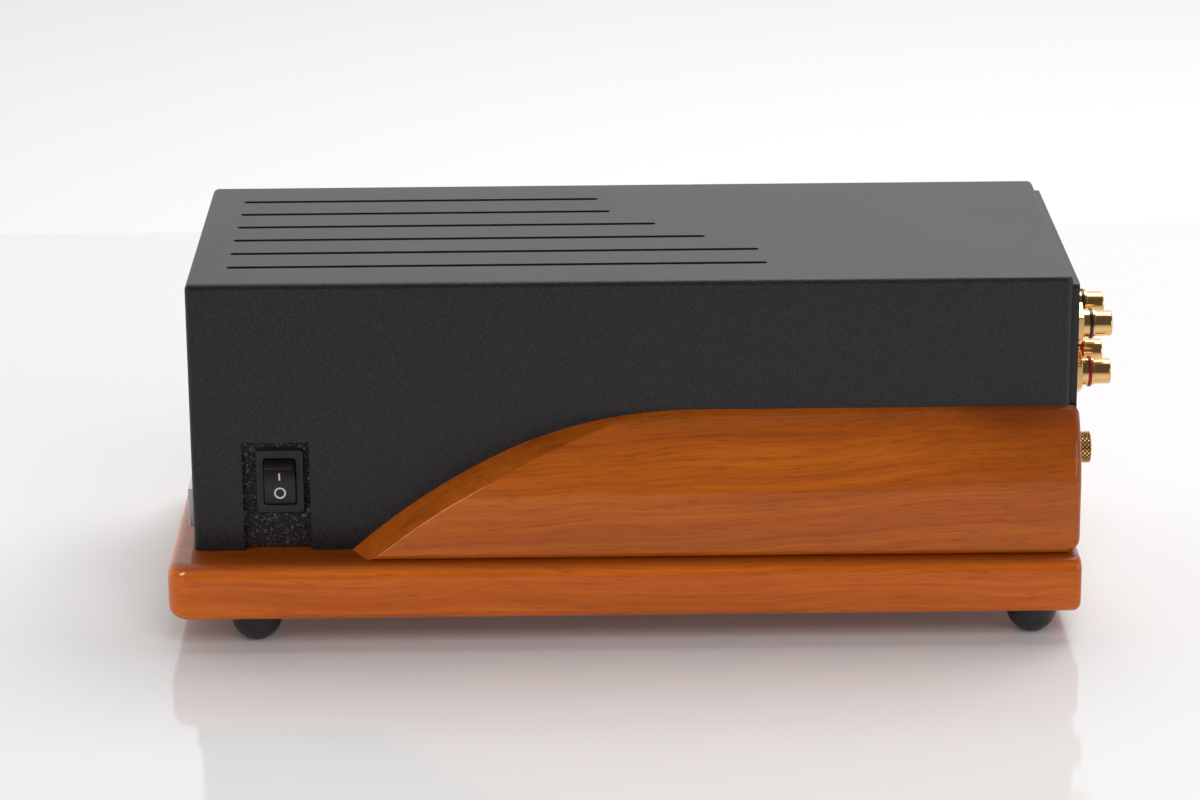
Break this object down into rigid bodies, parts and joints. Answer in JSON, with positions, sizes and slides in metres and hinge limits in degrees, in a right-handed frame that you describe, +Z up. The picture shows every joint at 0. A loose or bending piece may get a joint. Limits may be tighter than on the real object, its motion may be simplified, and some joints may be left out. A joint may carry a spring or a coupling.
{
  "type": "phono preamplifier",
  "caption": "Phono preamplifier in a long black sheet metal case with cooling slots and a side rocker switch, on a wooden plinth with curved wooden cheeks and dome feet.",
  "frame": {"origin": "centre of the footprint of the overall box, at the soles of the feet", "axes": "+Z up, -Y the front face with the bare plate, +Y the rear with the sockets, +X the right side with the switch"},
  "size_m": [0.154, 0.3066, 0.1182],
  "materials": {
    "oiled_wood": "satin oiled hardwood, reddish brown",
    "foot_rubber": "matte moulded",
    "cover_paint": "fine textured black powder coat",
    "tray_paint": "coarse wrinkle black paint",
    "panel_paint": "flat black",
    "bare_plate": "satin",
    "tape_foam": "foam tape",
    "black_plastic": "fine moulded grain",
    "rocker_plastic": "semi gloss",
    "gold_plate": "polished gold plating",
    "ring_black": "gloss",
    "ring_red": "gloss",
    "white_core": "white PTFE",
    "tinned_metal": "tinned",
    "zinc_steel": "zinc plated",
    "black_screw": "black oxide",
    "board_laminate": "solder mask",
    "clear_glass": "clear",
    "electrode_metal": "dull grey",
    "capacitor_sleeve": "black sleeve",
    "film_case": "red box case",
    "resistor_body": "lacquered",
    "winding_tape": "polyester tape",
    "pad_rubber": "matte",
    "wire_sheath": "wire insulation"
  },
  "bodies": {
    "chassis": {"base_board": "oiled_wood", "cheek_right": "oiled_wood", "cheek_left": "oiled_wood", "foot_front_right": "foot_rubber", "foot_front_left": "foot_rubber", "foot_rear_right": "foot_rubber", "foot_rear_left": "foot_rubber", "plinth_screws": "zinc_steel", "chassis_nuts": "zinc_steel", "cover": "cover_paint", "chassis_tray": "tray_paint", "rear_panel": "panel_paint", "panel_screws": "black_screw", "front_plate": "bare_plate", "front_plate_tape": "tape_foam", "switch_housing": "black_plastic", "switch_terminals": "tinned_metal", "jack_bushings": "black_plastic", "solder_tags": "tinned_metal", "jack_nuts": "gold_plate", "jack_cores": "white_core", "jack_contacts": "gold_plate", "earth_post": "gold_plate", "earth_nut": "zinc_steel", "inlet_housing": "black_plastic", "inlet_pins": "tinned_metal", "inlet_screws": "black_screw", "inlet_nuts": "zinc_steel", "transformer": "winding_tape", "transformer_pads": "pad_rubber", "transformer_dish": "zinc_steel", "transformer_bolt": "zinc_steel", "transformer_nut": "zinc_steel", "circuit_board": "board_laminate", "board_standoffs": "zinc_steel", "board_screws": "zinc_steel", "valve_sockets": "white_core", "valve_bases": "clear_glass", "valve_envelopes": "clear_glass", "valve_electrodes": "electrode_metal", "filter_capacitors": "capacitor_sleeve", "film_capacitors": "film_case", "resistors": "resistor_body", "mains_wires": "wire_sheath", "signal_wires": "wire_sheath", "jack_input_left": "gold_plate", "jack_ring_input_left": "ring_black", "jack_input_right": "gold_plate", "jack_ring_input_right": "ring_red", "jack_output_left": "gold_plate", "jack_ring_output_left": "ring_black", "jack_output_right": "gold_plate", "jack_ring_output_right": "ring_red"},
    "switch_rocker": {"switch_rocker": "rocker_plastic"},
    "earth_washer": {"earth_washer": "gold_plate"},
    "earth_thumb_nut": {"earth_thumb_nut": "gold_plate"},
    "fuse_drawer": {"fuse_drawer": "black_plastic", "fuse_glass": "clear_glass", "fuse_caps": "tinned_metal"}
  },
  "joints": [
    {"name": "switch_rock", "type": "hinge", "parent": "chassis", "child": "switch_rocker", "pos_m": [0.0594, -0.1168, 0.0518], "axis": [0, -1, 0], "range_deg": [0, 25]},
    {"name": "earth_nut_travel", "type": "slide", "parent": "chassis", "child": "earth_washer", "axis": [0, 1, 0], "range_m": [0, 0.003]},
    {"name": "earth_nut_turn", "type": "hinge", "parent": "earth_washer", "child": "earth_thumb_nut", "pos_m": [0.04, 0.1457, 0.0539], "axis": [0, 1, 0], "range_deg": [0, 1543]},
    {"name": "fuse_drawer_slide", "type": "slide", "parent": "chassis", "child": "fuse_drawer", "axis": [0, 1, 0], "range_m": [0, 0.015]}
  ],
  "couplings": [
    {"joint": "earth_nut_turn", "follows": "earth_nut_travel", "rad_per_m": 8976}
  ]
}
